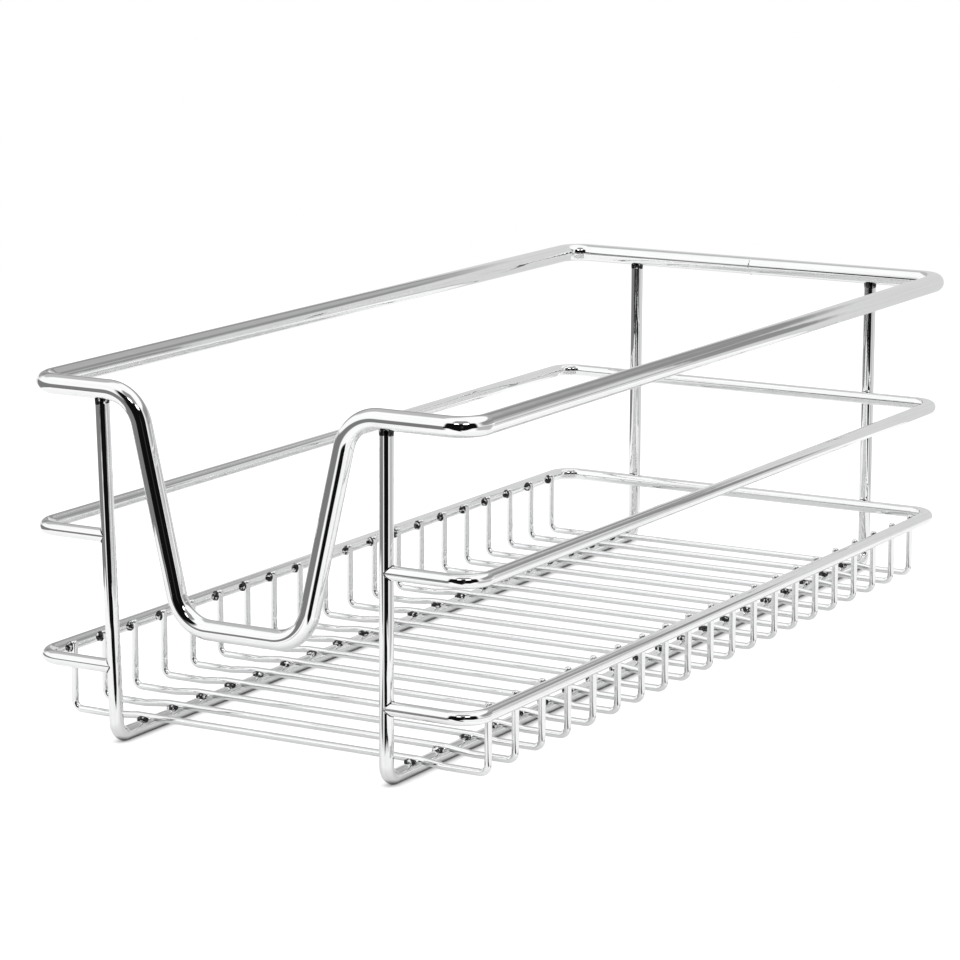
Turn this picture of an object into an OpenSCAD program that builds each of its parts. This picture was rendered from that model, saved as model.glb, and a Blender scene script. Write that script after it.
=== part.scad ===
// Pull-out cabinet basket, welded from bent steel rod and wire.
// Millimetres, +Z up, front towards -Y. The origin is on the ground under the middle of the basket.

/* [Overall] */
// Width over the top rim
basket_w = 200; // [180:1:560]
// Depth over the top rim, front to back
basket_d = 440; // [430:1:600]
// Height from the ground to the top of the rim
basket_h = 142; // [130:1:260]

/* [Rods] */
// Diameter of the top rim rod
rim_d = 8; // [6:0.5:12]
// Diameter of the rail and frame rods
rod_d = 5.5; // [4:0.5:7]
// Diameter of the cross wires
wire_d = 2.8; // [2:0.1:4]
// How deep crossing rods are pressed into each other where they are welded
weld_set = 0.2; // [0.1:0.05:0.4]
// How far a weld bead stands out round the thinner rod of its joint
bead_h = 0.7; // [0.4:0.05:1]

/* [Rim and handle] */
// Bend radius of the rim corners, to the middle of the rod
rim_bend_r = 10; // [8:0.5:25]
// Drop of the handle below the rim, between the middles of the rod
handle_drop = 88; // [40:1:110]
// Width of the handle at the rim, between its sharp corners
handle_top_w = 95; // [80:1:110]
// Width of the handle at the bottom, between its sharp corners
handle_bottom_w = 54; // [36:1:80]
// Bend radius of the handle, to the middle of the rod
handle_bend_r = 15.5; // [8:0.5:16]
// Sideways shift of the handle from the middle of the basket
handle_shift = -2.4; // [-3:0.1:0.5]

/* [Rails] */
// Height of the middle of the middle rail
middle_rail_z = 81.3; // [60:0.1:100]
// Height of the middle of the lower rail
lower_rail_z = 30.2; // [22:0.1:50]
// Bend radius of the rail corners, to the middle of the rod
rail_bend_r = 10; // [7:0.5:14]
// How deep the end of a rail wraps round the upright that it is welded to
cope_depth = 1.4; // [0.5:0.1:1.6]

/* [Standing frames] */
// Distance between the two frames, middle to middle
frame_span = 121; // [118:1:140]
// Bend radius between an upright and its runner, to the middle of the rod
foot_bend_r = 5.5; // [4:0.5:14]
// How far the left front upright leans outwards at the top
left_front_lean = 4.8; // [0:0.1:6]

/* [Cross wires] */
// Number of cross wires
wire_count = 20; // [2:1:40]
// Distance from the front uprights to the first cross wire, middle to middle
first_wire_gap = 18.1; // [14:0.1:20]
// Distance from the last cross wire to the rear uprights, middle to middle
last_wire_gap = 23.5; // [20:0.1:30]
// Bend radius of the cross wires, to the middle of the wire
wire_bend_r = 3.4; // [2.5:0.1:6]
// Height of the wire ends above the middle of the lower rail
wire_end_rise = 2.6; // [1:0.1:5]
// How far the floor drops outside the runners
floor_drop = 1.2; // [0:0.1:2]
// Width of the sloping stretch of floor outside each runner
floor_slope_w = 11; // [8:0.5:14]
// Bend radius where the floor starts and stops sloping
floor_bend_r = 12; // [4:0.5:20]

/* [Hidden] */
$fn = 48;

RODS = ["top_rim", "middle_rail", "lower_rail", "left_frame", "right_frame"];
WELDS = [
    "rim_seam_weld",
    "front_left_welds",
    "front_right_welds",
    "rear_left_welds",
    "rear_right_welds",
    "floor_welds",
    "wire_end_welds"
];

CHROME = [0.78, 0.79, 0.80];
WELD_GREY = [0.55, 0.56, 0.58];

// A bend is a hair thicker than its straight legs, which lap into it this far.
bend_swell = 0.05;
bend_lap = 0.2;

// Middle of the rim rod.
rim_x = (basket_w - rim_d) / 2;
rim_y = (basket_d - rim_d) / 2;
rim_z = basket_h - rim_d / 2;
rim_bottom_z = basket_h - rim_d;

// The rails are flush with the outside of the rim at the sides. At the back they run just inside
// the rear uprights, and at the front their ends meet the uprights.
rail_x = (basket_w - rod_d) / 2;
rail_back_y = rim_y - rod_d + weld_set;

// Height of the bead round the butt joint of the rim, and the angle that it covers.
seam_h = bead_h / 2;
seam_arc = 220;

// Uprights stand under the rim, and the runners lie on the ground.
frame_x = frame_span / 2;
runner_z = rod_d / 2;
upright_top_z = rim_z - rim_d / 4;

// The cross wires lie on the runners and are welded inside the lower rail.
wire_x = rail_x - (rod_d + wire_d) / 2 + weld_set;
floor_z = rod_d + wire_d / 2 - weld_set;
wire_end_z = lower_rail_z + wire_end_rise;
first_wire_y = first_wire_gap - rim_y;
wire_pitch = (2 * rim_y - first_wire_gap - last_wire_gap) / (wire_count - 1);
slope_start_x = frame_x + rod_d / 2;

// Sharp corners of the handle.
handle_z = rim_z - handle_drop;
handle_left_top = handle_shift - handle_top_w / 2;
handle_right_top = handle_shift + handle_top_w / 2;
handle_left_bottom = handle_shift - handle_bottom_w / 2;
handle_right_bottom = handle_shift + handle_bottom_w / 2;

function unit(v) = v / norm(v);
function turn(a, b) = acos(max(-1, min(1, a * b)));
function wire_y(i) = first_wire_y + i * wire_pitch;
function wire_name(i) = str("cross_wire_", i < 9 ? "0" : "", i + 1);

// Where the upright on one side (-1 left, 1 right) stands at the front, at height z.
function front_upright_x(side, z) =
    side * frame_x - (side < 0 ? left_front_lean * (z - runner_z) / (upright_top_z - runner_z) : 0);

// How much of a straight leg each bend takes up at the corner p, between points before and after.
function bend_leg(before, p, after, r) = r * tan(turn(unit(p - before), unit(after - p)) / 2);

// One straight length of rod from a to b.
module straight_rod(a, b, d) {
    v = b - a;
    translate(a)
        rotate([0, acos(v.z / norm(v)), atan2(v.y, v.x)])
            cylinder(h = norm(v), d = d);
}

// The bend at the corner p, tangent to both legs.
module rod_bend(before, p, after, d, r) {
    u = unit(p - before);
    w = unit(after - p);
    inward = unit(w - (w * u) * u);
    centre = p - bend_leg(before, p, after, r) * u + r * inward;
    side = cross(-inward, u);
    multmatrix([
        [-inward.x, u.x, side.x, centre.x],
        [-inward.y, u.y, side.y, centre.y],
        [-inward.z, u.z, side.z, centre.z],
        [0, 0, 0, 1]
    ])
        rotate_extrude(angle = turn(u, w))
            translate([r, 0])
                circle(d = d);
}

// A rod bent along the points p, with one bend radius for each of its inner corners in r.
// Each straight length runs a little way into its bends.
module bent_rod(p, d, r) {
    last = len(p) - 1;
    trims = [
        for (i = [0 : last])
            i == 0 || i == last ? 0 : bend_leg(p[i - 1], p[i], p[i + 1], r[i - 1]) - bend_lap
    ];
    for (i = [0 : last - 1]) {
        u = unit(p[i + 1] - p[i]);
        straight_rod(p[i] + trims[i] * u, p[i + 1] - trims[i + 1] * u, d);
    }
    for (i = [1 : last - 1])
        rod_bend(p[i - 1], p[i], p[i + 1], d + bend_swell, r[i - 1]);
}

// The rim is one closed loop that starts and ends at its butt weld in the middle of the back.
module rim_rod() {
    bent_rod(
        [
            [0, rim_y, rim_z],
            [-rim_x, rim_y, rim_z],
            [-rim_x, -rim_y, rim_z],
            [handle_left_top, -rim_y, rim_z],
            [handle_left_bottom, -rim_y, handle_z],
            [handle_right_bottom, -rim_y, handle_z],
            [handle_right_top, -rim_y, rim_z],
            [rim_x, -rim_y, rim_z],
            [rim_x, rim_y, rim_z],
            [0, rim_y, rim_z]
        ],
        rim_d,
        [
            rim_bend_r,
            rim_bend_r,
            handle_bend_r,
            handle_bend_r,
            handle_bend_r,
            handle_bend_r,
            rim_bend_r,
            rim_bend_r
        ]
    );
}

// A rail at height z, from the left front upright round the back to the right front upright.
module rail_rod(z) {
    reach = rod_d / 2 - cope_depth;
    bent_rod(
        [
            [front_upright_x(-1, z) - reach, -rim_y, z],
            [-rail_x, -rim_y, z],
            [-rail_x, rail_back_y, z],
            [rail_x, rail_back_y, z],
            [rail_x, -rim_y, z],
            [front_upright_x(1, z) + reach, -rim_y, z]
        ],
        rod_d,
        [rail_bend_r, rail_bend_r, rail_bend_r, rail_bend_r]
    );
}

// Front upright, runner and rear upright of one side, bent from one rod.
module frame_rod(side) {
    bent_rod(
        [
            [front_upright_x(side, upright_top_z), -rim_y, upright_top_z],
            [front_upright_x(side, runner_z), -rim_y, runner_z],
            [side * frame_x, rim_y, runner_z],
            [side * frame_x, rim_y, upright_top_z]
        ],
        rod_d,
        [foot_bend_r, foot_bend_r]
    );
}

// One cross wire: down inside the lower rail, over both runners and up the other side.
module wire_rod(i) {
    y = wire_y(i);
    side_z = floor_z - floor_drop;
    slope_end_x = slope_start_x + floor_slope_w;
    bent_rod(
        [
            [-wire_x, y, wire_end_z],
            [-wire_x, y, side_z],
            [-slope_end_x, y, side_z],
            [-slope_start_x, y, floor_z],
            [slope_start_x, y, floor_z],
            [slope_end_x, y, side_z],
            [wire_x, y, side_z],
            [wire_x, y, wire_end_z]
        ],
        wire_d,
        [wire_bend_r, floor_bend_r, floor_bend_r, floor_bend_r, floor_bend_r, wire_bend_r]
    );
}

// The stretch of one cross wire between the slopes of the floor, over both runners.
module wire_floor(i) {
    straight_rod([-slope_start_x, wire_y(i), floor_z], [slope_start_x, wire_y(i), floor_z], wire_d);
}

// The stretch of one cross wire that stands against the lower rail.
module wire_end(side, i) {
    straight_rod(
        [side * wire_x, wire_y(i), lower_rail_z - rod_d],
        [side * wire_x, wire_y(i), wire_end_z],
        wire_d
    );
}

// Straight lengths of the rods, as far as their sharp corners.
module runner(side) {
    straight_rod([side * frame_x, -rim_y, runner_z], [side * frame_x, rim_y, runner_z], rod_d);
}

module front_upright(side) {
    straight_rod(
        [front_upright_x(side, runner_z), -rim_y, runner_z],
        [front_upright_x(side, upright_top_z), -rim_y, upright_top_z],
        rod_d
    );
}

module rear_upright(side) {
    straight_rod([side * frame_x, rim_y, runner_z], [side * frame_x, rim_y, upright_top_z], rod_d);
}

module lower_rail_side(side) {
    straight_rod([side * rail_x, -rim_y, lower_rail_z], [side * rail_x, rim_y, lower_rail_z], rod_d);
}

module rail_back(z) {
    straight_rod([-rail_x, rail_back_y, z], [rail_x, rail_back_y, z], rod_d);
}

module top_rim() {
    color(CHROME) rim_rod();
}

// A rail with the seats for the uprights.
module rail_with_seats(z) {
    difference() {
        rail_rod(z);
        frame_rod(-1);
        frame_rod(1);
    }
}

module middle_rail() {
    color(CHROME) rail_with_seats(middle_rail_z);
}

module lower_rail() {
    color(CHROME)
        difference() {
            rail_with_seats(lower_rail_z);
            for (i = [0 : wire_count - 1], side = [-1, 1])
                wire_end(side, i);
        }
}

// A frame with its tops coped to the rim and the seats for the cross wires.
module frame(side) {
    color(CHROME)
        difference() {
            frame_rod(side);
            rim_rod();
            for (i = [0 : wire_count - 1])
                wire_floor(i);
        }
}

module left_frame() {
    frame(-1);
}

module right_frame() {
    frame(1);
}

module cross_wire(i) {
    color(CHROME) wire_rod(i);
}

// A half-round ring of weld metal that stands out by h from a rod of diameter d along Z.
module weld_ring(d, h, arc = 360) {
    rotate_extrude(angle = arc)
        intersection() {
            translate([d / 2, 0]) circle(r = h);
            translate([d / 2, -h]) square([h, 2 * h]);
        }
}

// The bead round the rim's butt joint. It is ground flush on top and at the back, so it stands out
// only on the inside and underneath.
module rim_seam_weld() {
    color(WELD_GREY)
        translate([0, rim_y, rim_z])
            rotate([-45 - seam_arc / 2, 0, 0])
                rotate([0, 90, 0])
                    weld_ring(rim_d, seam_h, seam_arc);
}

// The collar where an upright meets the underside of the rim, at the point p.
module rim_collar(p) {
    difference() {
        translate(p) sphere(d = rod_d + 2 * bead_h);
        rim_rod();
    }
}

// The bead round the end of a rail, where it meets a front upright.
module rail_end_bead(side, z) {
    translate([front_upright_x(side, z) + side * rod_d / 2, -rim_y, z])
        rotate([0, 90, 0])
            weld_ring(rod_d, bead_h);
}

// The bead where a rail passes a rear upright.
module rail_back_bead(side, z) {
    difference() {
        translate([side * frame_x, (rim_y + rail_back_y) / 2, z]) sphere(d = rod_d);
        rail_back(z);
    }
}

// The beads on one front upright: one under the rim and one for each rail.
module front_welds(side) {
    color(WELD_GREY)
        difference() {
            union() {
                rim_collar([front_upright_x(side, rim_bottom_z), -rim_y, rim_bottom_z]);
                rail_end_bead(side, middle_rail_z);
                rail_end_bead(side, lower_rail_z);
            }
            front_upright(side);
        }
}

// The beads on one rear upright.
module rear_welds(side) {
    color(WELD_GREY)
        difference() {
            union() {
                rim_collar([side * frame_x, rim_y, rim_bottom_z]);
                rail_back_bead(side, middle_rail_z);
                rail_back_bead(side, lower_rail_z);
            }
            rear_upright(side);
        }
}

module front_left_welds() {
    front_welds(-1);
}

module front_right_welds() {
    front_welds(1);
}

module rear_left_welds() {
    rear_welds(-1);
}

module rear_right_welds() {
    rear_welds(1);
}

// The spots where each cross wire is welded to the two runners.
module floor_welds() {
    color(WELD_GREY)
        for (i = [0 : wire_count - 1], side = [-1, 1])
            difference() {
                translate([side * frame_x, wire_y(i), rod_d - weld_set / 2]) sphere(d = wire_d + bead_h);
                runner(side);
                wire_floor(i);
            }
}

// The spots where the ends of each cross wire are welded to the lower rail.
module wire_end_welds() {
    color(WELD_GREY)
        for (i = [0 : wire_count - 1], side = [-1, 1])
            difference() {
                translate([side * (rail_x - rod_d / 2 + weld_set / 2), wire_y(i), lower_rail_z])
                    sphere(d = wire_d + bead_h);
                lower_rail_side(side);
                wire_end(side, i);
            }
}

top_rim();
middle_rail();
lower_rail();
left_frame();
right_frame();
rim_seam_weld();
front_left_welds();
front_right_welds();
rear_left_welds();
rear_right_welds();
floor_welds();
wire_end_welds();
for (i = [0 : wire_count - 1])
    cross_wire(i);
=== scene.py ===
import math

import bpy
import numpy as np
from mathutils import Matrix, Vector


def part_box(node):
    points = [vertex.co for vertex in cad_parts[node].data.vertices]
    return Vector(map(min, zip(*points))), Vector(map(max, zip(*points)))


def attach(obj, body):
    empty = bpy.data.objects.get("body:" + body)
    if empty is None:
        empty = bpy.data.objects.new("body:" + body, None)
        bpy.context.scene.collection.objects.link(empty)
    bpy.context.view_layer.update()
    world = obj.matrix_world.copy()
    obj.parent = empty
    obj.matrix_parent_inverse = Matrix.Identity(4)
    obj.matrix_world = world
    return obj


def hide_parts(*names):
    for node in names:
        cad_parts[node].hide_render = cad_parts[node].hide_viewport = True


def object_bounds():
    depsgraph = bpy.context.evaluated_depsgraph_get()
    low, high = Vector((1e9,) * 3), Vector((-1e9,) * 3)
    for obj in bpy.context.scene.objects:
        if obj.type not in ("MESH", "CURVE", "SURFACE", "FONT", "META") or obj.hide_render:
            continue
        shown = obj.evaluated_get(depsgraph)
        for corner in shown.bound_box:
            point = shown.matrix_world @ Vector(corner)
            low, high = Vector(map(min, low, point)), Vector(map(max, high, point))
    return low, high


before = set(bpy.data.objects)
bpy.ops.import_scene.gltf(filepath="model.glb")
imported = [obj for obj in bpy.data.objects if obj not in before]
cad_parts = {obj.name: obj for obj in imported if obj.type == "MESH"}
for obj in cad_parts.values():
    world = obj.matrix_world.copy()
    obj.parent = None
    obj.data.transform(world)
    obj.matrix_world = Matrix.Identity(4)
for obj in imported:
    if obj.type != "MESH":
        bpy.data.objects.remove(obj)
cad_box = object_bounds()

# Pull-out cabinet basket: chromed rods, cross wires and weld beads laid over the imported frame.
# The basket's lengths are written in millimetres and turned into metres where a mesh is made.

MM = 0.001
BODY = "root"

# Diameters of the three kinds of rod, and how much thicker the frame makes its bends.
RIM_ROD = 8.0
RAIL_ROD = 5.5
WIRE_ROD = 2.8
BEND_SWELL = 0.05

# Bend radii, to the middle of the rod.
RIM_BEND = 10.0
HANDLE_BEND = 15.5
RAIL_BEND = 10.0
FOOT_BEND = 5.5
WIRE_BEND = 3.4
FLOOR_BEND = 12.0

# Handle, between its sharp corners.
HANDLE_TOP_WIDTH = 95.0
HANDLE_BOTTOM_WIDTH = 54.0
HANDLE_SHIFT = -2.4

# How far the left front upright leans outwards at the top, and how deep crossing rods are pressed
# into each other.
LEFT_FRONT_LEAN = 4.8
WELD_SET = 0.2

# The floor slopes down outside each runner over this width.
FLOOR_SLOPE_WIDTH = 11.0

# Rounded wire ends: the length of their crown as a share of the wire's diameter, the places of their
# rings as shares of that length, and the power of their superellipse. The first ring is a guard, which
# lies before the crown.
END_CROWN = 0.45
END_SHARES = (-0.3, 0.0, 0.2, 0.4, 0.6, 0.75, 0.87, 0.95, 0.99)
END_POWER = 2.5

# How finely rods are drawn, and how far inside a straight its guard rings stand. They keep the shading
# of a bend or a cut end from running along the straight.
ARC_STEP = math.radians(3)
FEWEST_ARC_STEPS = 4
GUARD = 0.3
RIM_SIDES = 56
RAIL_SIDES = 44
WIRE_SIDES = 28
# A direction that no rod takes. The first section of each rod has one of its axes square to it.
ASKEW = (0.31, 0.52, 0.8)

# Unevenness of weld metal, as waves: strength, waves round a bead, and how fast they wind along it.
RIPPLE_WAVES = [(1.0, 2, 0.0), (0.7, 3, 2.2), (0.5, 5, -3.1)]

# Rings round rods have a height, the share of it that the ripple adds, how deep their edges lie in the
# rod, how far they waver, and a grid: how many rings of points, and how many points round each.
# Collars round the tops of the uprights, from a drop below the rim to an overlap inside it. The run is
# how far the ripple goes on from foot to top, and the power rounds their flank.
COLLAR_HEIGHT = 0.15
COLLAR_RIPPLE = 0.14
COLLAR_RIPPLE_RUN = 3
COLLAR_INSET = 0.05
COLLAR_DROP = 2.0
COLLAR_OVERLAP = 0.3
COLLAR_WAVER = 0.25
COLLAR_POWER = 0.6
COLLAR_GRID = (9, 36)
# Beads round the ends of the rails. The rounding smooths the crease of their saddle.
RAIL_BEAD_HEIGHT = 0.3
RAIL_BEAD_RIPPLE = 0.21
RAIL_BEAD_INSET = 0.03
RAIL_BEAD_WAVER = 0.05
RAIL_BEAD_GRID = (9, 40)
SADDLE_ROUNDING = 0.02
# The rim's seam: its bead covers an arc round the rod, and fades out at both ends of it.
SEAM_HEIGHT = 0.35
SEAM_RIPPLE = 0.14
SEAM_INSET = 0.04
SEAM_WAVER = 0.1
SEAM_MIDDLE = math.radians(45)
SEAM_ARC = math.radians(220)
SEAM_FADE = 0.35
SEAM_GRID = (9, 60)
# Spot welds lean towards the front, where the metal is squeezed out. Their half sizes to the side, back
# and up are shares of SPOT_HALF.
SPOT_HALF = 2.1
SPOT_LEAN = 1.1
SPOT_RIPPLE = 0.07
SPOT_GRID = (12, 18)
RUNNER_SPOT = (1.15, 1.1, 0.72)
RAIL_SPOT = (0.85, 1.2, 1.0)
# Lumps between a rear upright and the rails, with half sizes as shares of half a rail's diameter.
REAR_SPOT = (1.0, 0.8, 1.0)
REAR_GRID = (16, 28)


# ---- places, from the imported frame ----


def box_mm(node):
    """Lowest and highest corner of a CAD node in millimetres."""
    low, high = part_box(node)
    return np.array(low) / MM, np.array(high) / MM


def half_bend(rod):
    """Half the thickness of a rod in the frame's bends, which set the corners of its box."""
    return (rod + BEND_SWELL) / 2


rim_low, rim_high = box_mm("top_rim")
rim_x, rim_y, rim_z = rim_high - half_bend(RIM_ROD)
rim_bottom_z = rim_z - RIM_ROD / 2
handle_z = rim_low[2] + half_bend(RIM_ROD)

runner_z = RAIL_ROD / 2
runner_x = box_mm("right_frame")[0][0] + half_bend(RAIL_ROD)
# Uprights end inside the rim, halfway from its underside to its middle.
upright_top_z = rim_z - RIM_ROD / 4

WIRE_NODES = sorted(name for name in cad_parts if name.startswith("cross_wire_"))


def rail_place(node):
    """Side distance, back distance and height of the middle of a rail."""
    low, high = box_mm(node)
    return high[0] - half_bend(RAIL_ROD), high[1] - half_bend(RAIL_ROD), (low[2] + high[2]) / 2


def wire_place(node):
    """Side distance, distance from the front, top and side floor height of a cross wire."""
    low, high = box_mm(node)
    return high[0] - half_bend(WIRE_ROD), (low[1] + high[1]) / 2, high[2], low[2] + half_bend(WIRE_ROD)


def front_upright_x(side, z):
    """Sideways place of a front upright (side -1 left, 1 right) at height z."""
    lean = LEFT_FRONT_LEAN if side < 0 else 0
    return side * runner_x - lean * (z - runner_z) / (upright_top_z - runner_z)


# ---- shapes ----


def unit(vector):
    """The vector at length 1."""
    return vector / np.linalg.norm(vector)


def round_angles(sides):
    """Angles of evenly spread points round a ring."""
    return np.arange(sides) * 2 * math.pi / sides


def turned(frame_at_start, axis, angles):
    """The frame turned about the axis by each angle, by Rodrigues' formula:
    R = I + sin(a) K + (1 - cos(a)) K K, where K is the cross-product matrix of the axis."""
    k = np.array([[0, -axis[2], axis[1]], [axis[2], 0, -axis[0]], [-axis[1], axis[0], 0]])
    sine = np.sin(angles)[:, None, None]
    versine = 1 - np.cos(angles)[:, None, None]
    return (np.eye(3) + sine * k + versine * (k @ k)) @ frame_at_start


def bent_path(corners, radii):
    """Centre line of a bent rod: points, and at each a frame with columns normal, binormal, tangent.

    A corner p with bend radius r and turn w is cut back by r tan(w / 2) on both legs, and the arc
    between is centre + r (sin(t) along - cos(t) inward) for t from 0 to w. The section is carried
    unturned on the straights and turns about the axis of each bend, so that it never twists."""
    corners = np.array(corners, dtype=float)
    ways = np.diff(corners, axis=0)
    ways = ways / np.linalg.norm(ways, axis=1)[:, None]
    sideways = unit(np.cross(ASKEW, ways[0]))
    section = np.column_stack([sideways, np.cross(ways[0], sideways), ways[0]])
    points, frames = [corners[:1]], [section[None]]
    for corner, before, after, radius in zip(corners[1:-1], ways[:-1], ways[1:], radii):
        turn = math.acos(np.clip(before @ after, -1, 1))
        axis = unit(np.cross(before, after))
        inward = np.cross(axis, before)
        centre = corner - radius * math.tan(turn / 2) * before + radius * inward
        t = np.linspace(0, turn, max(FEWEST_ARC_STEPS, math.ceil(turn / ARC_STEP)) + 1)
        arc = centre + radius * (np.sin(t)[:, None] * before - np.cos(t)[:, None] * inward)
        points += [points[-1][-1:] + GUARD * before, arc[:1] - GUARD * before, arc]
        frames += [section[None], section[None], turned(section, axis, t)]
        section = frames[-1][-1]
    points += [points[-1][-1:] + GUARD * ways[-1], corners[-1:] - GUARD * ways[-1], corners[-1:]]
    frames += [section[None]] * 3
    return np.concatenate(points), np.concatenate(frames)


def domed_ends(points, frames, radius, crown):
    """The path with rounded ends, and the radius at each of its points.

    An end is a quarter of a superellipse: at the share s of its crown the radius is
    radius (1 - s^p)^(1 / p), with p the end power. The crown lies within the length of the path, and
    takes the place of its guard rings."""
    share = np.array(END_SHARES)
    shrink = (1 - np.clip(share, 0, 1) ** END_POWER) ** (1 / END_POWER)
    first = points[0] + crown * (1 - share[::-1, None]) * frames[0][:, 2]
    last = points[-1] - crown * (1 - share[:, None]) * frames[-1][:, 2]
    points = np.concatenate([first, points[2:-2], last])
    frames = np.concatenate([
        np.repeat(frames[:1], len(share), axis=0),
        frames[2:-2],
        np.repeat(frames[-1:], len(share), axis=0),
    ])
    radii = np.concatenate([shrink[::-1], np.ones(len(points) - 2 * len(share)), shrink]) * radius
    return points, frames, radii


def tube_rings(points, frames, radius, sides):
    """Rings of a rod: p + radius (cos(a) normal + sin(a) binormal), for a round the rod."""
    angle = round_angles(sides)[:, None]
    way = np.cos(angle) * frames[:, None, :, 0] + np.sin(angle) * frames[:, None, :, 1]
    return points[:, None, :] + np.broadcast_to(radius, len(points))[:, None, None] * way


def skin_faces(rings, sides, closed):
    """Corner numbers of the faces over one grid of rings. Four-sided faces join each ring to the next,
    and on an open skin a fan closes each end on one extra point."""
    steps = rings if closed else rings - 1
    ring, side = np.meshgrid(np.arange(steps), np.arange(sides), indexing="ij")
    after, beside = (ring + 1) % rings, (side + 1) % sides
    quads = np.stack([
        ring * sides + side, ring * sides + beside, after * sides + beside, after * sides + side
    ], axis=-1).reshape(-1, 4)
    if closed:
        return quads, np.zeros((0, 3), int)
    around = np.arange(sides)
    onward = (around + 1) % sides
    top = (rings - 1) * sides
    low_fan = np.stack([onward, around, np.full(sides, rings * sides)], axis=-1)
    high_fan = np.stack([top + around, top + onward, np.full(sides, rings * sides + 1)], axis=-1)
    return quads, np.concatenate([low_fan, high_fan])


def skin(name, grids, closed=False):
    """One mesh over grids[s, i, k] (mm): skin s, ring i, point k round the ring. The UV map "along" holds
    the share of the way round and the distance along, in metres, for patterns that follow a rod."""
    count, rings, sides = grids.shape[:3]
    quads, fans = skin_faces(rings, sides, closed)
    points = grids.reshape(count, rings * sides, 3)
    if not closed:
        poles = np.stack([grids[:, 0].mean(axis=1), grids[:, -1].mean(axis=1)], axis=1)
        points = np.concatenate([points, poles], axis=1)
    step = np.arange(count)[:, None, None] * points.shape[1]
    faces = (quads + step).reshape(-1, 4).tolist() + (fans + step).reshape(-1, 3).tolist()
    mesh = bpy.data.meshes.new(name)
    mesh.from_pydata((points.reshape(-1, 3) * MM).tolist(), [], faces)
    mesh.polygons.foreach_set("use_smooth", np.ones(len(faces), dtype=bool))

    middle = grids.mean(axis=2)
    steps = np.linalg.norm(np.diff(middle, axis=1, append=middle[:, :1]), axis=2)
    along = np.concatenate([np.zeros((count, 1)), np.cumsum(steps, axis=1)], axis=1) * MM
    quad_ring, quad_side = quads[:, 0] // sides, quads[:, 0] % sides
    round_uv = (quad_side[:, None] + np.array([0, 1, 1, 0])) / sides
    along_uv = along[:, quad_ring[:, None] + np.array([0, 0, 1, 1])]
    quad_uv = np.stack([np.broadcast_to(round_uv, along_uv.shape), along_uv], axis=-1)
    fan_uv = np.zeros((count * fans.size, 2))
    corner_uv = np.concatenate([quad_uv.reshape(-1, 2), fan_uv])
    layer = mesh.uv_layers.new(name="along")
    layer.uv.foreach_set("vector", corner_uv.astype(np.float32).ravel())
    mesh.update()
    return mesh


def ripple(phase, around, along):
    """Unevenness of weld metal, between -1 and 1: a sum of waves over the two parameters, each
    strength sin(m around + n along + phase), with its own phases for each bead."""
    waves = sum(
        strength * np.sin(turns * around + runs * along + phase[..., place])
        for place, (strength, turns, runs) in enumerate(RIPPLE_WAVES)
    )
    return waves / sum(strength for strength, turns, runs in RIPPLE_WAVES)


def bead_phases(name, count):
    """Fixed phases for each bead of a piece, one for each wave, shaped to spread over its grid."""
    seed = sum(ord(letter) * (place + 1) for place, letter in enumerate(name))
    return np.random.default_rng(seed).uniform(0, 2 * math.pi, (count, 1, 1, len(RIPPLE_WAVES)))


def bead_grid(grid, end):
    """The two parameters of a bead over its grid: steps from 0 to the end, and angles round it."""
    rings, sides = grid
    return np.linspace(0, end, rings)[:, None], round_angles(sides)[None]


def weld_spots(name, centres, half_sizes, grid):
    """Lumps of squeezed-out metal: centre + half_size * (1 + ripple) * direction, with the direction over
    the whole sphere. The poles lie along Z, and the ripple fades towards them."""
    rings, sides = grid
    tilt = np.linspace(0, math.pi, rings + 2)[1:-1][::-1][:, None]
    around = round_angles(sides)[None]
    way = np.stack([
        np.sin(tilt) * np.cos(around),
        np.sin(tilt) * np.sin(around),
        np.cos(tilt) * np.ones_like(around),
    ], axis=-1)
    swell = 1 + SPOT_RIPPLE * ripple(bead_phases(name, len(centres)), around, tilt) * np.sin(tilt)
    return np.array(centres)[:, None, None] + np.array(half_sizes) * swell[..., None] * way


def rim_collars(name, x_places, y):
    """Collars where uprights meet the underside of the rim. Round the upright (a) and up it (s from 0 to
    1) the radius grows from the upright's by the collar height times sin(s pi / 2)^p, with p the collar
    power, and the height runs from a low edge up into the rim's underside, rim_z - sqrt(R^2 - y^2)."""
    share, around = bead_grid(COLLAR_GRID, 1)
    bumps = ripple(bead_phases(name, len(x_places)), around, COLLAR_RIPPLE_RUN * share)
    grow = COLLAR_HEIGHT * np.sin(share * math.pi / 2) ** COLLAR_POWER * (1 + COLLAR_RIPPLE * bumps)
    radius = RAIL_ROD / 2 - COLLAR_INSET + grow
    low_z = rim_bottom_z - COLLAR_DROP + COLLAR_WAVER * bumps * (1 - share)
    underside = rim_z - np.sqrt((RIM_ROD / 2) ** 2 - (radius * np.sin(around)) ** 2)
    rings = np.stack([
        radius * np.cos(around),
        radius * np.sin(around),
        low_z + (underside + COLLAR_OVERLAP - low_z) * share,
    ], axis=-1)
    return rings + np.array([[x, y, 0] for x in x_places])[:, None, None]


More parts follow.
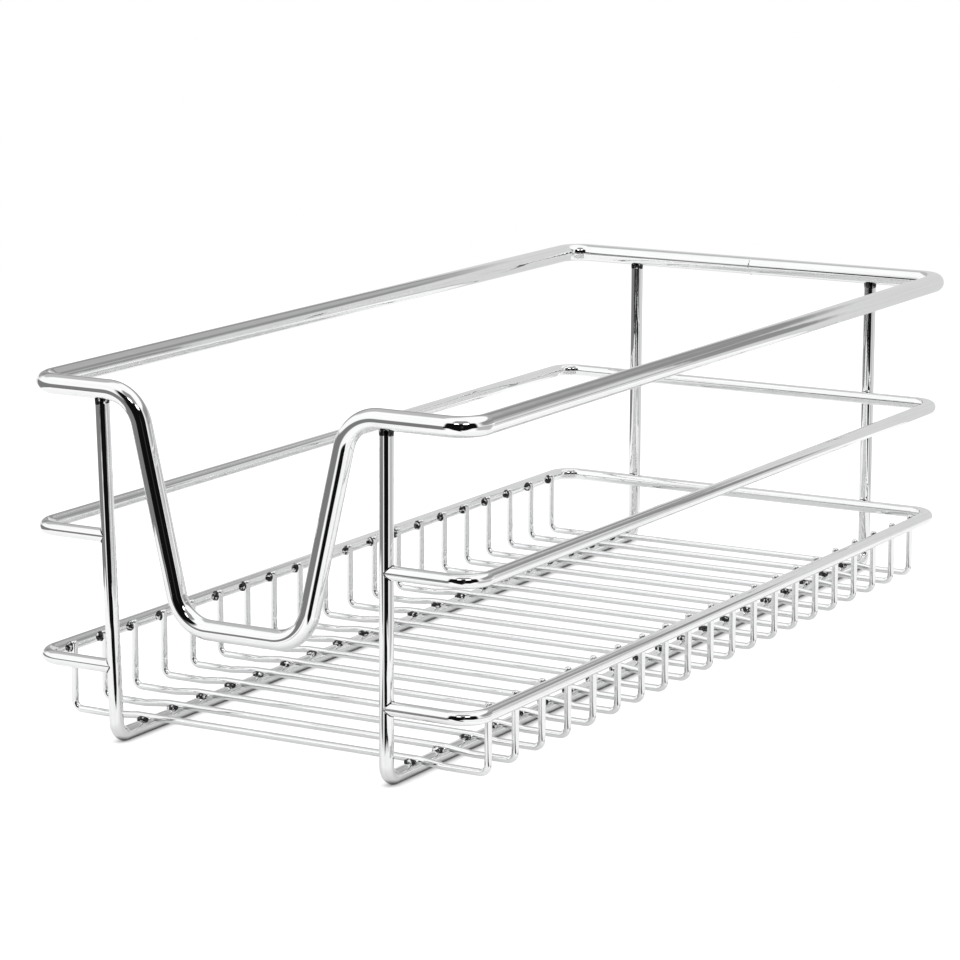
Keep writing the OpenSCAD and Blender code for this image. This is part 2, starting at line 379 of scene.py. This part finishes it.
def rail_end_beads(name, side, heights):
    """Beads where rails end on a front upright. Round the rail (a), the middle of the bead follows the
    saddle between two rods of the same radius r, x = r |cos(a)|, and its half-round section swells the
    rail's radius by the bead height times sin(b) for b from 0 to pi."""
    bow, around = bead_grid(RAIL_BEAD_GRID, math.pi)
    bumps = ripple(bead_phases(name, len(heights)), around, bow)
    grow = RAIL_BEAD_HEIGHT * np.sin(bow) * (1 + RAIL_BEAD_RIPPLE * bumps)
    radius = RAIL_ROD / 2 - RAIL_BEAD_INSET + grow
    saddle = RAIL_ROD / 2 * np.sqrt(np.cos(around) ** 2 + SADDLE_ROUNDING)
    out = saddle - RAIL_BEAD_HEIGHT * np.cos(bow) + RAIL_BEAD_WAVER * bumps
    rings = np.stack([side * out, -side * radius * np.sin(around), radius * np.cos(around)], axis=-1)
    return rings + np.array([[front_upright_x(side, z), -rim_y, z] for z in heights])[:, None, None]


def seam_ring():
    """The bead round the rim's butt joint: round the rim (a), the radius is the rim's plus the seam height
    times sin(b), fading to nothing at both ends of its arc, which lies inside and underneath."""
    bow, around = bead_grid(SEAM_GRID, math.pi)
    off_middle = np.abs((around - SEAM_MIDDLE + math.pi) % (2 * math.pi) - math.pi)
    fade = np.clip((SEAM_ARC / 2 - off_middle) / SEAM_FADE, 0, 1)
    bumps = ripple(bead_phases("seam", 1), around, bow)
    grow = (SEAM_HEIGHT + SEAM_INSET) * np.sin(bow) * fade * (1 + SEAM_RIPPLE * bumps)
    radius = RIM_ROD / 2 - SEAM_INSET + grow
    out = -SEAM_HEIGHT * np.cos(bow) * (1 + SEAM_WAVER * bumps)
    rings = np.stack([out, -radius * np.cos(around), -radius * np.sin(around)], axis=-1)
    return rings + np.array([0, rim_y, rim_z])


# ---- materials ----

# Draw lines of the steel: how many lie round a rod, and how many follow each other along a metre of it.
DRAW_LINES_ROUND = 26
DRAW_LINES_ALONG = 12
# The middle of a noise pattern's range.
NOISE_MIDDLE = 0.5


def feed(tree, socket, value):
    """Give an input socket a number, or link it to another node's output."""
    if isinstance(value, (int, float)):
        socket.default_value = value
    else:
        tree.links.new(value, socket)


def math_node(tree, operation, *values):
    """Output socket of a Math node whose inputs are sockets or numbers."""
    node = tree.nodes.new("ShaderNodeMath")
    node.operation = operation
    for socket, value in zip(node.inputs, values):
        feed(tree, socket, value)
    return node.outputs[0]


def blend_value(tree, factor, low, high):
    """Output socket that runs from low to high as the factor goes from 0 to 1."""
    node = tree.nodes.new("ShaderNodeMix")
    sockets = [node.inputs[0], node.inputs[2], node.inputs[3]]
    for socket, value in zip(sockets, [factor, low, high]):
        feed(tree, socket, value)
    return node.outputs[0]


def noise(tree, vector, scale, detail, roughness=0.5):
    """Output socket of a noise pattern, from 0 to 1."""
    node = tree.nodes.new("ShaderNodeTexNoise")
    node.inputs["Detail"].default_value = detail
    node.inputs["Roughness"].default_value = roughness
    feed(tree, node.inputs["Vector"], vector)
    feed(tree, node.inputs["Scale"], scale)
    return node.outputs["Fac"]


def group_with(name, inputs, outputs):
    """An empty shader node group with named value inputs and outputs: (group, input node, output node)."""
    group = bpy.data.node_groups.new(name, "ShaderNodeTree")
    for socket, value in inputs.items():
        made = group.interface.new_socket(socket, in_out="INPUT", socket_type="NodeSocketFloat")
        made.default_value = value
    for socket in outputs:
        group.interface.new_socket(socket, in_out="OUTPUT", socket_type="NodeSocketFloat")
    return group, group.nodes.new("NodeGroupInput"), group.nodes.new("NodeGroupOutput")


def plating_group():
    """Chrome over drawn steel. Roughness clouds over with a soft noise, the shade joins it to long draw
    lines, which follow the rod, and the height joins them to the slow ripple of the steel underneath."""
    inputs = {
        "Cloud Scale": 120.0,
        "Roughness": 0.05,
        "Cloud": 0.02,
        "Streaks": 0.5,
        "Draw Lines": 0.2,
        "Ripple Scale": 90.0,
    }
    group, given, result = group_with("plating", inputs, ["Shade", "Roughness", "Height"])
    place = group.nodes.new("ShaderNodeTexCoord")
    cloud = noise(group, place.outputs["Object"], given.outputs["Cloud Scale"], detail=4, roughness=0.6)
    spread = math_node(group, "SUBTRACT", cloud, NOISE_MIDDLE)
    rough = math_node(group, "MULTIPLY_ADD", spread, given.outputs["Cloud"], given.outputs["Roughness"])

    along = group.nodes.new("ShaderNodeUVMap")
    along.uv_map = "along"
    stretch = group.nodes.new("ShaderNodeMapping")
    stretch.inputs["Scale"].default_value = (DRAW_LINES_ROUND, DRAW_LINES_ALONG, 1)
    group.links.new(along.outputs["UV"], stretch.inputs["Vector"])
    lines = noise(group, stretch.outputs["Vector"], scale=1.0, detail=3, roughness=0.6)
    waves = noise(group, place.outputs["Object"], given.outputs["Ripple Scale"], detail=1)
    height = math_node(group, "MULTIPLY_ADD", lines, given.outputs["Draw Lines"], waves)

    shade = blend_value(group, given.outputs["Streaks"], cloud, lines)
    group.links.new(shade, result.inputs["Shade"])
    group.links.new(rough, result.inputs["Roughness"])
    group.links.new(height, result.inputs["Height"])
    return group


def plated_material(name, dark, light, bump, spread=(0.3, 0.7), **values):
    """A plated finish: the plating group drives its colour, roughness and bump, whose height is in
    millimetres. The colour runs from dark to light over the spread of the shade. The other values are
    inputs of the group, with _ for each space in their names."""
    material = bpy.data.materials.new(name)
    material.use_nodes = True
    tree = material.node_tree
    shader = tree.nodes["Principled BSDF"]
    shader.inputs["Metallic"].default_value = 1.0
    group = tree.nodes.new("ShaderNodeGroup")
    group.node_tree = plating
    for socket, value in values.items():
        group.inputs[socket.replace("_", " ")].default_value = value
    ramp = tree.nodes.new("ShaderNodeValToRGB")
    ramp.color_ramp.elements[0].position = spread[0]
    ramp.color_ramp.elements[0].color = (*dark, 1)
    ramp.color_ramp.elements[1].position = spread[1]
    ramp.color_ramp.elements[1].color = (*light, 1)
    tree.links.new(group.outputs["Shade"], ramp.inputs["Fac"])
    tree.links.new(ramp.outputs["Color"], shader.inputs["Base Color"])
    tree.links.new(group.outputs["Roughness"], shader.inputs["Roughness"])
    raised = tree.nodes.new("ShaderNodeBump")
    raised.inputs["Distance"].default_value = bump * MM
    raised.inputs["Strength"].default_value = 1.0
    tree.links.new(group.outputs["Height"], raised.inputs["Height"])
    tree.links.new(raised.outputs["Normal"], shader.inputs["Normal"])
    return material


plating = plating_group()
polished_chrome = plated_material(
    "polished_chrome", dark=(0.87, 0.875, 0.88), light=(0.98, 0.982, 0.985), bump=0.05,
    Cloud_Scale=140.0, Roughness=0.04, Cloud=0.03, Streaks=0.75, Draw_Lines=0.12, Ripple_Scale=85.0,
)
wire_chrome = plated_material(
    "wire_chrome", dark=(0.92, 0.925, 0.93), light=(0.96, 0.963, 0.967), bump=0.02,
    Cloud_Scale=220.0, Roughness=0.05, Cloud=0.04, Streaks=0.4, Draw_Lines=0.15, Ripple_Scale=160.0,
)
# Weld metal: its near-black base colour is partly weld burn and thin plating and partly a painted dark
# reflection of the hollow welds. The small chrome specks scattered in it are painted highlight dots.
weld_burn_and_painted_reflections = plated_material(
    "weld_burn_and_painted_reflections", dark=(0.04, 0.04, 0.042), light=(0.93, 0.935, 0.94), bump=0.06, spread=(0.54, 0.60),
    Cloud_Scale=620.0, Roughness=0.09, Cloud=0.10, Streaks=0.0, Draw_Lines=0.0, Ripple_Scale=520.0,
)


# ---- pieces ----


def add_piece(name, mesh, material, replaced):
    """A finished piece that stands for one CAD node and rides on the basket's body."""
    mesh.materials.append(material)
    piece = bpy.data.objects.new(name, mesh)
    bpy.context.scene.collection.objects.link(piece)
    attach(piece, BODY)
    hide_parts(replaced)


def make_rim():
    """One closed loop that starts at its butt weld in the middle of the back, with the handle in front."""
    left, right = HANDLE_SHIFT - HANDLE_TOP_WIDTH / 2, HANDLE_SHIFT + HANDLE_TOP_WIDTH / 2
    low_left, low_right = HANDLE_SHIFT - HANDLE_BOTTOM_WIDTH / 2, HANDLE_SHIFT + HANDLE_BOTTOM_WIDTH / 2
    points, frames = bent_path(
        [
            (0, rim_y, rim_z), (-rim_x, rim_y, rim_z), (-rim_x, -rim_y, rim_z), (left, -rim_y, rim_z),
            (low_left, -rim_y, handle_z), (low_right, -rim_y, handle_z), (right, -rim_y, rim_z),
            (rim_x, -rim_y, rim_z), (rim_x, rim_y, rim_z), (0, rim_y, rim_z),
        ],
        [RIM_BEND] * 2 + [HANDLE_BEND] * 4 + [RIM_BEND] * 2,
    )
    rings = tube_rings(points[:-1], frames[:-1], RIM_ROD / 2, RIM_SIDES)
    add_piece("top_rim_rod", skin("top_rim_rod", rings[None], closed=True), polished_chrome, "top_rim")


def make_rail(node):
    """A rail from one front upright round the back to the other, its ends buried in the uprights."""
    side_x, back_y, z = rail_place(node)
    points, frames = bent_path(
        [
            (front_upright_x(-1, z), -rim_y, z), (-side_x, -rim_y, z), (-side_x, back_y, z),
            (side_x, back_y, z), (side_x, -rim_y, z), (front_upright_x(1, z), -rim_y, z),
        ],
        [RAIL_BEND] * 4,
    )
    rings = tube_rings(points, frames, RAIL_ROD / 2, RAIL_SIDES)
    add_piece(node + "_rod", skin(node + "_rod", rings[None]), polished_chrome, node)


def make_frame(node, side):
    """Front upright, runner and rear upright of one side, bent from one rod."""
    points, frames = bent_path(
        [
            (front_upright_x(side, upright_top_z), -rim_y, upright_top_z),
            (front_upright_x(side, runner_z), -rim_y, runner_z),
            (side * runner_x, rim_y, runner_z), (side * runner_x, rim_y, upright_top_z),
        ],
        [FOOT_BEND] * 2,
    )
    rings = tube_rings(points, frames, RAIL_ROD / 2, RAIL_SIDES)
    add_piece(node + "_rod", skin(node + "_rod", rings[None]), polished_chrome, node)


def make_wire(node):
    """A cross wire: down inside the lower rail, over both runners and up the other side."""
    x, y, top_z, side_z = wire_place(node)
    floor_z = RAIL_ROD + WIRE_ROD / 2 - WELD_SET
    slope_start = runner_x + RAIL_ROD / 2
    slope_end = slope_start + FLOOR_SLOPE_WIDTH
    points, frames = bent_path(
        [
            (-x, y, top_z), (-x, y, side_z), (-slope_end, y, side_z), (-slope_start, y, floor_z),
            (slope_start, y, floor_z), (slope_end, y, side_z), (x, y, side_z), (x, y, top_z),
        ],
        [WIRE_BEND] + [FLOOR_BEND] * 4 + [WIRE_BEND],
    )
    points, frames, radii = domed_ends(points, frames, WIRE_ROD / 2, END_CROWN * WIRE_ROD)
    rings = tube_rings(points, frames, radii, WIRE_SIDES)
    add_piece(node + "_rod", skin(node + "_rod", rings[None]), wire_chrome, node)


def make_weld_piece(node, *groups, material=weld_burn_and_painted_reflections):
    """One piece of weld metal from several groups of beads of different kinds."""
    meshes = [skin(f"{node}_part_{place}", grids) for place, grids in enumerate(groups)]
    joined = bpy.data.meshes.new(node + "_metal")
    points, faces, start = [], [], 0
    for mesh in meshes:
        places = np.empty(len(mesh.vertices) * 3)
        mesh.vertices.foreach_get("co", places)
        points.append(places.reshape(-1, 3))
        faces += [[start + corner for corner in face.vertices] for face in mesh.polygons]
        start += len(mesh.vertices)
        bpy.data.meshes.remove(mesh)
    joined.from_pydata(np.concatenate(points).tolist(), [], faces)
    joined.polygons.foreach_set("use_smooth", np.ones(len(faces), dtype=bool))
    joined.uv_layers.new(name="along")
    add_piece(node + "_metal", joined, material, node)


def make_upright_welds(side, word):
    """Weld metal of the front and the rear upright on one side."""
    rail_y, middle_z = rail_place("middle_rail")[1:]
    rail_heights = [middle_z, rail_place("lower_rail")[2]]
    node = f"front_{word}_welds"
    collar = rim_collars(node, [front_upright_x(side, rim_bottom_z)], -rim_y)
    make_weld_piece(node, collar, rail_end_beads(node, side, rail_heights))
    node = f"rear_{word}_welds"
    collar = rim_collars(node, [side * runner_x], rim_y)
    crossings = [(side * runner_x, (rim_y + rail_y) / 2, z) for z in rail_heights]
    half_sizes = np.array(REAR_SPOT) * RAIL_ROD / 2
    make_weld_piece(node, collar, weld_spots(node, crossings, half_sizes, REAR_GRID))


def make_wire_welds(node, rod_x, z, shares):
    """Spot welds of one kind, where every wire touches the rods at both sides."""
    wire_y = [wire_place(wire)[1] for wire in WIRE_NODES]
    centres = [(side * rod_x, y - SPOT_LEAN, z) for y in wire_y for side in (-1, 1)]
    make_weld_piece(node, weld_spots(node, centres, np.array(shares) * SPOT_HALF, SPOT_GRID))


def make_welds():
    """All weld metal: on the four uprights, along both runners, along the lower rail and at the seam."""
    make_upright_welds(-1, "left")
    make_upright_welds(1, "right")
    make_wire_welds("floor_welds", runner_x, RAIL_ROD - WELD_SET / 2, RUNNER_SPOT)
    rail_x, rail_z = rail_place("lower_rail")[::2]
    make_wire_welds("wire_end_welds", rail_x - RAIL_ROD / 2 + WELD_SET / 2, rail_z, RAIL_SPOT)
    make_weld_piece("rim_seam_weld", seam_ring(), material=polished_chrome)


make_rim()
make_rail("middle_rail")
make_rail("lower_rail")
make_frame("left_frame", -1)
make_frame("right_frame", 1)
for wire_node in WIRE_NODES:
    make_wire(wire_node)
make_welds()


# ---- studio ----

# Grey levels are shares of white as the eye sees them; light is that to this power.
EYE_POWER = 2.2
# Light of the tent itself.
TENT_LIGHT = 1.05

# Panels round the basket, each over the one before: the middle of the panel as degrees round from the
# front (right is positive) and up, its half width and half height in degrees, how square it is (1 is a
# diamond, 2 an oval), the share of its size over which its edge is soft, and its grey level.
PANELS = {
    "back_wall_band": (175, 23, 80, 16, 8, 0.15, 0.57),
    "back_wall_top": (182, 35, 36, 6, 6, 0.50, 0.69),
    "back_wall_gap": (178, 15, 60, 3, 6, 0.60, 0.70),
    "back_table_edge": (182, -7, 66, 6, 6, 0.30, 0.90),
    "right_wall_low": (108, -14, 30, 17, 6, 0.25, 0.74),
    "left_wall_low": (-66, -11, 46, 17, 6, 0.15, 0.49),
    "left_wall_top": (-120, 47, 34, 16, 4, 0.25, 0.74),
    "above_opening": (30, 58, 34, 14, 6, 0.20, 0.58),
    "camera_opening": (29.5, 17, 51.5, 26, 10, 0.09, 0.09),
    "camera_opening_foot": (27.5, -2, 41.5, 36, 1.2, 0.10, 0.09),
    "camera_opening_side": (-16.5, -3, 8.5, 7, 6, 0.12, 0.09),
    "opening_post": (33, 6, 4, 11, 2, 0.60, 0.22),
    "small_lamp": (14, 39, 8, 3, 4, 0.20, 1.9),
    "wide_lamp": (47, 38, 10, 4, 4, 0.20, 1.9),
}


def light_of(grey):
    """Light of a grey level."""
    return grey**EYE_POWER


def reach_group():
    """How far out a point lies in a rounded frame, 1 on its edge: (|x / w|^p + |y / h|^p)^(1 / p), where p
    is the squareness."""
    inputs = {"Across": 0, "Up": 0, "Half Width": 1, "Half Height": 1, "Squareness": 4}
    group, given, result = group_with("reach", inputs, ["Reach"])
    terms = []
    for off, half in [("Across", "Half Width"), ("Up", "Half Height")]:
        share = math_node(group, "DIVIDE", given.outputs[off], given.outputs[half])
        share = math_node(group, "ABSOLUTE", share)
        terms.append(math_node(group, "POWER", share, given.outputs["Squareness"]))
    root = math_node(group, "DIVIDE", 1.0, given.outputs["Squareness"])
    out = math_node(group, "POWER", math_node(group, "ADD", *terms), root)
    group.links.new(out, result.inputs["Reach"])
    return group


reach = reach_group()
# Squareness at which a rounded frame is an oval.
OVAL = 2


def reach_of(tree, across, up, half_width, half_height, squareness):
    """Output socket of the reach group for one frame."""
    node = tree.nodes.new("ShaderNodeGroup")
    node.node_tree = reach
    tree.links.new(across, node.inputs["Across"])
    tree.links.new(up, node.inputs["Up"])
    node.inputs["Half Width"].default_value = half_width
    node.inputs["Half Height"].default_value = half_height
    node.inputs["Squareness"].default_value = squareness
    return node.outputs["Reach"]


def axes_of(tree, kind):
    """Output sockets of the X, Y and Z of a kind of texture coordinates."""
    place = tree.nodes.new("ShaderNodeTexCoord")
    split = tree.nodes.new("ShaderNodeSeparateXYZ")
    tree.links.new(place.outputs[kind], split.inputs["Vector"])
    return split.outputs


def soft_step(tree, value, start, end):
    """Output socket that is 0 up to the start, 1 from the end on, and smooth between."""
    node = tree.nodes.new("ShaderNodeMapRange")
    node.interpolation_type = "SMOOTHSTEP"
    node.inputs["From Min"].default_value = start
    node.inputs["From Max"].default_value = end
    tree.links.new(value, node.inputs["Value"])
    return node.outputs["Result"]


def make_studio():
    """A white tent with an opening on the camera's side. The camera sees plain white; chrome sees the
    tent, and the floor is lit by even white light."""
    world = bpy.data.worlds.new("studio")
    bpy.context.scene.world = world
    world.use_nodes = True
    tree = world.node_tree
    background = tree.nodes["Background"]
    axes = axes_of(tree, "Generated")
    to_front = math_node(tree, "MULTIPLY", axes["Y"], -1.0)
    rounds = math_node(tree, "DEGREES", math_node(tree, "ARCTAN2", axes["X"], to_front))
    ups = math_node(tree, "DEGREES", math_node(tree, "ARCSINE", axes["Z"]))
    level = TENT_LIGHT
    for middle_round, middle_up, half_width, half_height, squareness, edge, grey in PANELS.values():
        off_round = math_node(tree, "SUBTRACT", rounds, middle_round)
        off_round = math_node(tree, "WRAP", off_round, 180, -180)
        off_up = math_node(tree, "SUBTRACT", ups, middle_up)
        out = reach_of(tree, off_round, off_up, half_width, half_height, squareness)
        level = blend_value(tree, soft_step(tree, out, 1 - edge, 1 + edge), light_of(grey), level)
    path = tree.nodes.new("ShaderNodeLightPath")
    level = blend_value(tree, path.outputs["Is Diffuse Ray"], level, 1.0)
    level = blend_value(tree, path.outputs["Is Camera Ray"], level, 1.0)
    background.inputs["Color"].default_value = (1, 1, 1, 1)
    tree.links.new(level, background.inputs["Strength"])
    world.cycles.sampling_method = "NONE"


# Floor: a round white sheet, its radius in metres, and the shares of the radius between which it fades
# out.
FLOOR_RADIUS = 1.2
FLOOR_SIDES = 96
FLOOR_FADE = (0.7, 0.98)
FLOOR_COLOUR = 0.62
# Light added for the camera only, so that bare floor is white and only the basket's shadow shows.
FLOOR_LIFT = 0.62
# Contact shadow, in chrome and for the camera: how near the metal has to be, in metres, and how deep the
# shadow is.
CONTACT_DISTANCE = (0.0025, 0.003)
CONTACT_DEPTH = (0.8, 0.45)
CONTACT_SAMPLES = 8
# What chrome sees of the floor: a painted shadow of the basket, grey in a rounded frame that follows it,
# white beside it, and open further out, where the studio shows. The painted shadow ends between two
# shares of the basket's half sizes.
PAINTED_BASKET_SHADOW = 0.78
BESIDE_BASKET = 1.0
BASKET_SHADOW_EDGE = (0.95, 1.15)
BASKET_SHADOW_SQUARENESS = 4
# The white sheet that chrome sees, and what is cut out of it: three steps at the camera's side and a slit
# beside the wires on the right. Each is a middle to the right and back, a half width and a half depth in
# metres. The edges are soft over a share of the half sizes.
SHEET = (-0.025, -0.0725, 0.285, 0.3575)
CUT_OUTS = [
    (0.045, -0.60, 0.08, 0.329),
    (0.0625, -0.62, 0.0975, 0.31),
    (0.0875, -0.64, 0.1225, 0.285),
    (0.1135, -0.035, 0.0085, 0.245),
]
SHEET_EDGE = 0.03
SHEET_SQUARENESS = 12

# Light board behind the basket, seen only by chrome. In millimetres: its distance from the rim, the
# heights of its foot and of the middle of its upper edge, its half width, and half the height over which
# the upper edge is soft. Then its grey level.
BOARD_GAP = 84
BOARD_FOOT = 20
BOARD_HEIGHT = 242
BOARD_HALF_WIDTH = 420
BOARD_SOFT = 24
BOARD_GREY = 0.85
# Darker places on its right half: the middle from the centre and up, half width and half height in
# millimetres, and the grey level. All are as square as each other, with equally soft edges.
BOARD_PATCHES = {
    "gap_in_board": (245, 175, 42, 75, 0.57),
    "seam_line": (352, 112, 62, 9, 0.42),
}
PATCH_SQUARENESS = 6
PATCH_EDGE = (0.75, 1.25)


def stage_material(name):
    """An empty material for the floor or a board: (material, tree, clear shader, Light Path node)."""
    material = bpy.data.materials.new(name)
    material.use_nodes = True
    tree = material.node_tree
    tree.nodes.remove(tree.nodes["Principled BSDF"])
    clear = tree.nodes.new("ShaderNodeBsdfTransparent")
    return material, tree, clear.outputs["BSDF"], tree.nodes.new("ShaderNodeLightPath")


def mix_shaders(tree, factor, low, high):
    """Output socket that runs from the low shader to the high one as the factor goes from 0 to 1."""
    node = tree.nodes.new("ShaderNodeMixShader")
    for socket, value in zip(node.inputs, [factor, low, high]):
        tree.links.new(value, socket)
    return node.outputs["Shader"]


def outside(tree, across, back, place):
    """Output socket that is 0 inside a rounded frame on the floor and 1 outside it."""
    middle_x, middle_y, half_width, half_depth = place
    off_x = math_node(tree, "SUBTRACT", across, middle_x)
    off_y = math_node(tree, "SUBTRACT", back, middle_y)
    out = reach_of(tree, off_x, off_y, half_width, half_depth, SHEET_SQUARENESS)
    return soft_step(tree, out, 1 - SHEET_EDGE, 1 + SHEET_EDGE)


def contact_shadow(tree, to_camera):
    """Output socket that is 1 on bare floor and darker where metal is near."""
    near = tree.nodes.new("ShaderNodeAmbientOcclusion")
    near.samples = CONTACT_SAMPLES
    tree.links.new(blend_value(tree, to_camera, *CONTACT_DISTANCE), near.inputs["Distance"])
    return math_node(tree, "POWER", near.outputs["AO"], blend_value(tree, to_camera, *CONTACT_DEPTH))


def floor_opening(tree, across, back):
    """Output socket that is 1 where chrome sees past the white sheet."""
    opening = outside(tree, across, back, SHEET)
    for cut_out in CUT_OUTS:
        inside = math_node(tree, "SUBTRACT", 1.0, outside(tree, across, back, cut_out))
        opening = math_node(tree, "MAXIMUM", opening, inside)
    return opening


def floor_material():
    """Matt white with the basket's shadow for the camera. For chrome it has a painted grey shadow under
    the basket, white beside it and open further out."""
    material, tree, clear, path = stage_material("white_floor")
    to_camera, to_chrome = path.outputs["Is Camera Ray"], path.outputs["Is Glossy Ray"]
    axes = axes_of(tree, "Object")
    contact = contact_shadow(tree, to_camera)

    # Painted shadow of the basket, for chrome only: grey inside a rounded frame round its footprint, white
    # beside it.
    half_width, half_depth = cad_box[1][:2]
    out = reach_of(tree, axes["X"], axes["Y"], half_width, half_depth, BASKET_SHADOW_SQUARENESS)
    colour = blend_value(tree, soft_step(tree, out, *BASKET_SHADOW_EDGE), PAINTED_BASKET_SHADOW, BESIDE_BASKET)
    colour = blend_value(tree, to_chrome, FLOOR_COLOUR, colour)
    matt = tree.nodes.new("ShaderNodeBsdfDiffuse")
    tree.links.new(math_node(tree, "MULTIPLY", colour, contact), matt.inputs["Color"])
    lift = tree.nodes.new("ShaderNodeEmission")
    lifted = math_node(tree, "MULTIPLY", to_camera, FLOOR_LIFT)
    tree.links.new(math_node(tree, "MULTIPLY", lifted, contact), lift.inputs["Strength"])
    seen = tree.nodes.new("ShaderNodeAddShader")
    tree.links.new(matt.outputs["BSDF"], seen.inputs[0])
    tree.links.new(lift.outputs["Emission"], seen.inputs[1])

    from_middle = reach_of(tree, axes["X"], axes["Y"], FLOOR_RADIUS, FLOOR_RADIUS, OVAL)
    edge = soft_step(tree, from_middle, *FLOOR_FADE)
    opening = math_node(tree, "MAXIMUM", edge, floor_opening(tree, axes["X"], axes["Y"]))
    gone = blend_value(tree, to_chrome, edge, opening)
    whole = mix_shaders(tree, gone, seen.outputs["Shader"], clear)
    tree.links.new(whole, tree.nodes["Material Output"].inputs["Surface"])
    return material


def make_floor():
    """The round white floor under the basket."""
    angle = round_angles(FLOOR_SIDES)
    rim = np.stack([np.cos(angle), np.sin(angle), np.zeros(FLOOR_SIDES)], axis=-1) * FLOOR_RADIUS
    mesh = bpy.data.meshes.new("floor")
    mesh.from_pydata(rim.tolist(), [], [list(range(FLOOR_SIDES))])
    mesh.materials.append(floor_material())
    floor = bpy.data.objects.new("floor", mesh)
    bpy.context.scene.collection.objects.link(floor)


def board_material(top):
    """Light that only chrome sees, with darker places and a soft upper edge. The light is gone at the
    top, which is a height in metres."""
    material, tree, clear, path = stage_material("board_light")
    axes = axes_of(tree, "Object")
    level = light_of(BOARD_GREY)
    for middle_x, middle_z, half_width, half_height, grey in BOARD_PATCHES.values():
        across = math_node(tree, "SUBTRACT", axes["X"], middle_x * MM)
        up = math_node(tree, "SUBTRACT", axes["Z"], middle_z * MM)
        out = reach_of(tree, across, up, half_width * MM, half_height * MM, PATCH_SQUARENESS)
        level = blend_value(tree, soft_step(tree, out, *PATCH_EDGE), light_of(grey), level)
    glow = tree.nodes.new("ShaderNodeEmission")
    tree.links.new(level, glow.inputs["Strength"])
    below = soft_step(tree, axes["Z"], top, top - 2 * BOARD_SOFT * MM)
    shown = math_node(tree, "MULTIPLY", below, path.outputs["Is Glossy Ray"])
    whole = mix_shaders(tree, shown, clear, glow.outputs["Emission"])
    tree.links.new(whole, tree.nodes["Material Output"].inputs["Surface"])
    return material


def make_back_board():
    """The light board that stands behind the basket."""
    y = (rim_y + BOARD_GAP) * MM
    half, foot, top = BOARD_HALF_WIDTH * MM, BOARD_FOOT * MM, (BOARD_HEIGHT + BOARD_SOFT) * MM
    mesh = bpy.data.meshes.new("back_board")
    corners = [(-half, y, foot), (half, y, foot), (half, y, top), (-half, y, top)]
    mesh.from_pydata(corners, [], [(0, 1, 2, 3)])
    mesh.materials.append(board_material(top))
    board = bpy.data.objects.new("back_board", mesh)
    bpy.context.scene.collection.objects.link(board)


# ---- camera ----

# Place and clipping distances in metres, the view's angles round from the front, up and in roll, lens
# and sensor in millimetres, and shift as shares of the picture's width.
CAMERA_PLACE = (0.7454, -1.3500, 0.3807)
CAMERA_ROUND = math.radians(29.588)
CAMERA_UP = math.radians(11.027)
CAMERA_ROLL = math.radians(0.254)
CAMERA_LENS = 139.36
CAMERA_SENSOR = 36
CAMERA_SHIFT = (-0.0048, -0.0190)
CAMERA_CLIP = (0.05, 20)


def make_camera():
    """A long lens in front of the basket, to its right and a little above. The camera's Z axis points
    back along the view, at the angles round and up, and its X and Y axes are turned by the roll."""
    back = np.array([
        math.sin(CAMERA_ROUND) * math.cos(CAMERA_UP),
        -math.cos(CAMERA_ROUND) * math.cos(CAMERA_UP),
        math.sin(CAMERA_UP),
    ])
    level_x = unit(np.cross([0, 0, 1], back))
    level_y = np.cross(back, level_x)
    right = math.cos(CAMERA_ROLL) * level_x + math.sin(CAMERA_ROLL) * level_y
    top = math.cos(CAMERA_ROLL) * level_y - math.sin(CAMERA_ROLL) * level_x
    lens = bpy.data.cameras.new("camera")
    lens.lens = CAMERA_LENS
    lens.sensor_width = CAMERA_SENSOR
    lens.shift_x, lens.shift_y = CAMERA_SHIFT
    lens.clip_start, lens.clip_end = CAMERA_CLIP
    camera = bpy.data.objects.new("camera", lens)
    columns = np.column_stack([right, top, back, CAMERA_PLACE])
    camera.matrix_world = Matrix([*columns.tolist(), [0, 0, 0, 1]])
    bpy.context.scene.collection.objects.link(camera)
    bpy.context.scene.camera = camera


make_studio()
make_floor()
make_back_board()
make_camera()
bpy.context.scene.view_settings.view_transform = "Standard"
